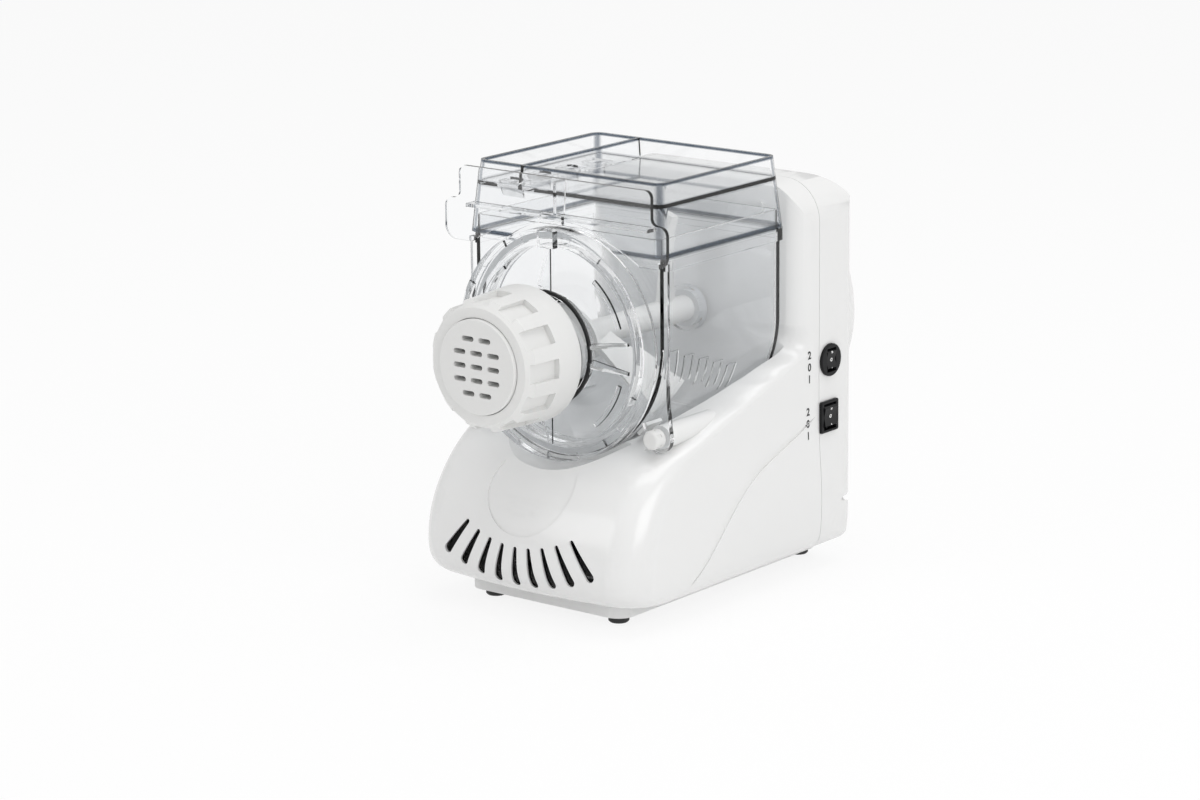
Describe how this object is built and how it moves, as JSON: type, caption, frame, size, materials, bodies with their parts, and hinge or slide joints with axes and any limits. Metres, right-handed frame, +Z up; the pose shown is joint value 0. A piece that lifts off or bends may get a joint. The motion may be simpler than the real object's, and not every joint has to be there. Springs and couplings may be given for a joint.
{
  "type": "electric pasta maker",
  "caption": "Electric pasta maker: moulded housing with motor and gears, clear mixing tub and lid, screw-fed die with a cap nut, and rocker switches on the side.",
  "frame": {"origin": "on the surface that the feet stand on, under the middle of the machine's overall box", "axes": "+Z up, -Y towards the die at the front, +X towards the side with the two rocker switches"},
  "size_m": [0.1857, 0.297, 0.292],
  "materials": {
    "white_plastic": "gloss white moulding",
    "clear_plastic": "clear polished",
    "steel": "bright zinc plated",
    "black_rubber": "matte black",
    "gear_nylon": "natural nylon",
    "black_plastic": "black satin",
    "silicone": "translucent silicone",
    "nut_plastic": "satin white",
    "copper": "enamelled copper",
    "laminations": "laminated steel",
    "brass": "sintered bronze",
    "zinc": "die cast",
    "terminal_plastic": "natural"
  },
  "bodies": {
    "base": {"front_housing": "white_plastic", "rear_cover": "white_plastic", "base_plate": "white_plastic", "rubber_feet": "black_rubber", "base_screws": "steel", "cover_screws": "steel", "cord_inlet_bush": "black_rubber", "output_bearing": "brass", "gearbox_front_plate": "steel", "gearbox_rear_plate": "steel", "gearbox_pillars": "steel", "gearbox_bushes": "brass", "stator_core": "laminations", "stator_windings": "copper", "motor_front_bell": "zinc", "motor_rear_bell": "zinc", "motor_bolts": "steel", "motor_bearings": "brass", "motor_cradle": "steel", "motor_mounts": "black_rubber", "round_switch_body": "black_plastic", "square_switch_body": "black_plastic", "interlock_switch": "black_plastic", "run_capacitor": "zinc", "terminal_block": "terminal_plastic"},
    "tub": {"mixing_tub": "clear_plastic", "tub_shaft_seal": "silicone"},
    "disc": {"front_disc": "clear_plastic", "tube_seal_ring": "black_rubber", "disc_gasket": "silicone", "die": "nut_plastic", "die_gasket": "silicone"},
    "nut": {"cap_nut": "nut_plastic"},
    "screw_left": {"thumb_screw_left": "nut_plastic"},
    "screw_right": {"thumb_screw_right": "nut_plastic"},
    "cover": {"lid": "clear_plastic", "lid_guard": "clear_plastic"},
    "kneading": {"kneader": "nut_plastic", "feed_screw": "nut_plastic"},
    "output": {"output_shaft": "steel", "output_gear": "gear_nylon", "shaft_retaining_ring": "steel"},
    "second": {"second_gear": "gear_nylon", "second_axle": "steel"},
    "first": {"first_gear": "gear_nylon", "first_axle": "steel"},
    "rotor": {"rotor_shaft": "steel", "rotor_core": "laminations", "cooling_fan": "black_plastic", "motor_pinion": "brass"},
    "round_rocker": {"round_switch_rocker": "black_plastic"},
    "square_rocker": {"square_switch_rocker": "black_plastic"},
    "pin": {"interlock_pin": "white_plastic"}
  },
  "joints": [
    {"name": "tub_slide", "type": "slide", "parent": "base", "child": "tub", "axis": [0, -1, 0], "range_m": [0, 0.14]},
    {"name": "disc_slide", "type": "slide", "parent": "tub", "child": "disc", "axis": [0, -1, 0], "range_m": [0, 0.11]},
    {"name": "nut_turn", "type": "hinge", "parent": "disc", "child": "nut", "pos_m": [0, -0.12, 0.179], "axis": [0, -1, 0], "range_deg": [0, 540]},
    {"name": "screw_left_turn", "type": "hinge", "parent": "tub", "child": "screw_left", "pos_m": [-0.075, -0.06, 0.1245], "axis": [0, -1, 0], "range_deg": [0, 1080]},
    {"name": "screw_right_turn", "type": "hinge", "parent": "tub", "child": "screw_right", "pos_m": [0.075, -0.06, 0.1245], "axis": [0, -1, 0], "range_deg": [0, 1080]},
    {"name": "lid_lift", "type": "slide", "parent": "tub", "child": "cover", "axis": [0, 0, 1], "range_m": [0, 0.08]},
    {"name": "kneader_spin", "type": "hinge", "parent": "tub", "child": "kneading", "pos_m": [0, 0, 0.179], "axis": [0, -1, 0], "continuous": true},
    {"name": "output_spin", "type": "hinge", "parent": "base", "child": "output", "pos_m": [0, 0.11, 0.179], "axis": [0, -1, 0], "continuous": true},
    {"name": "second_spin", "type": "hinge", "parent": "base", "child": "second", "pos_m": [0, 0.11, 0.1355], "axis": [0, -1, 0], "continuous": true},
    {"name": "first_spin", "type": "hinge", "parent": "base", "child": "first", "pos_m": [0, 0.11, 0.098], "axis": [0, -1, 0], "continuous": true},
    {"name": "rotor_spin", "type": "hinge", "parent": "base", "child": "rotor", "pos_m": [0, 0, 0.059], "axis": [0, -1, 0], "continuous": true},
    {"name": "round_rocker_tilt", "type": "hinge", "parent": "base", "child": "round_rocker", "pos_m": [0.0866, 0.115, 0.1465], "axis": [0, 1, 0], "range_deg": [-12, 12]},
    {"name": "square_rocker_tilt", "type": "hinge", "parent": "base", "child": "square_rocker", "pos_m": [0.0866, 0.1135, 0.1075], "axis": [0, 1, 0], "range_deg": [-12, 12]},
    {"name": "pin_press", "type": "slide", "parent": "base", "child": "pin", "axis": [0, 1, 0], "range_m": [0, 0.0022], "stiffness_N_per_m": 300}
  ],
  "couplings": [
    {"joint": "first_spin", "follows": "rotor_spin", "ratio": -0.21875},
    {"joint": "second_spin", "follows": "rotor_spin", "ratio": 0.066576},
    {"joint": "output_spin", "follows": "rotor_spin", "ratio": -0.021183},
    {"joint": "kneader_spin", "follows": "rotor_spin", "ratio": -0.021183}
  ]
}
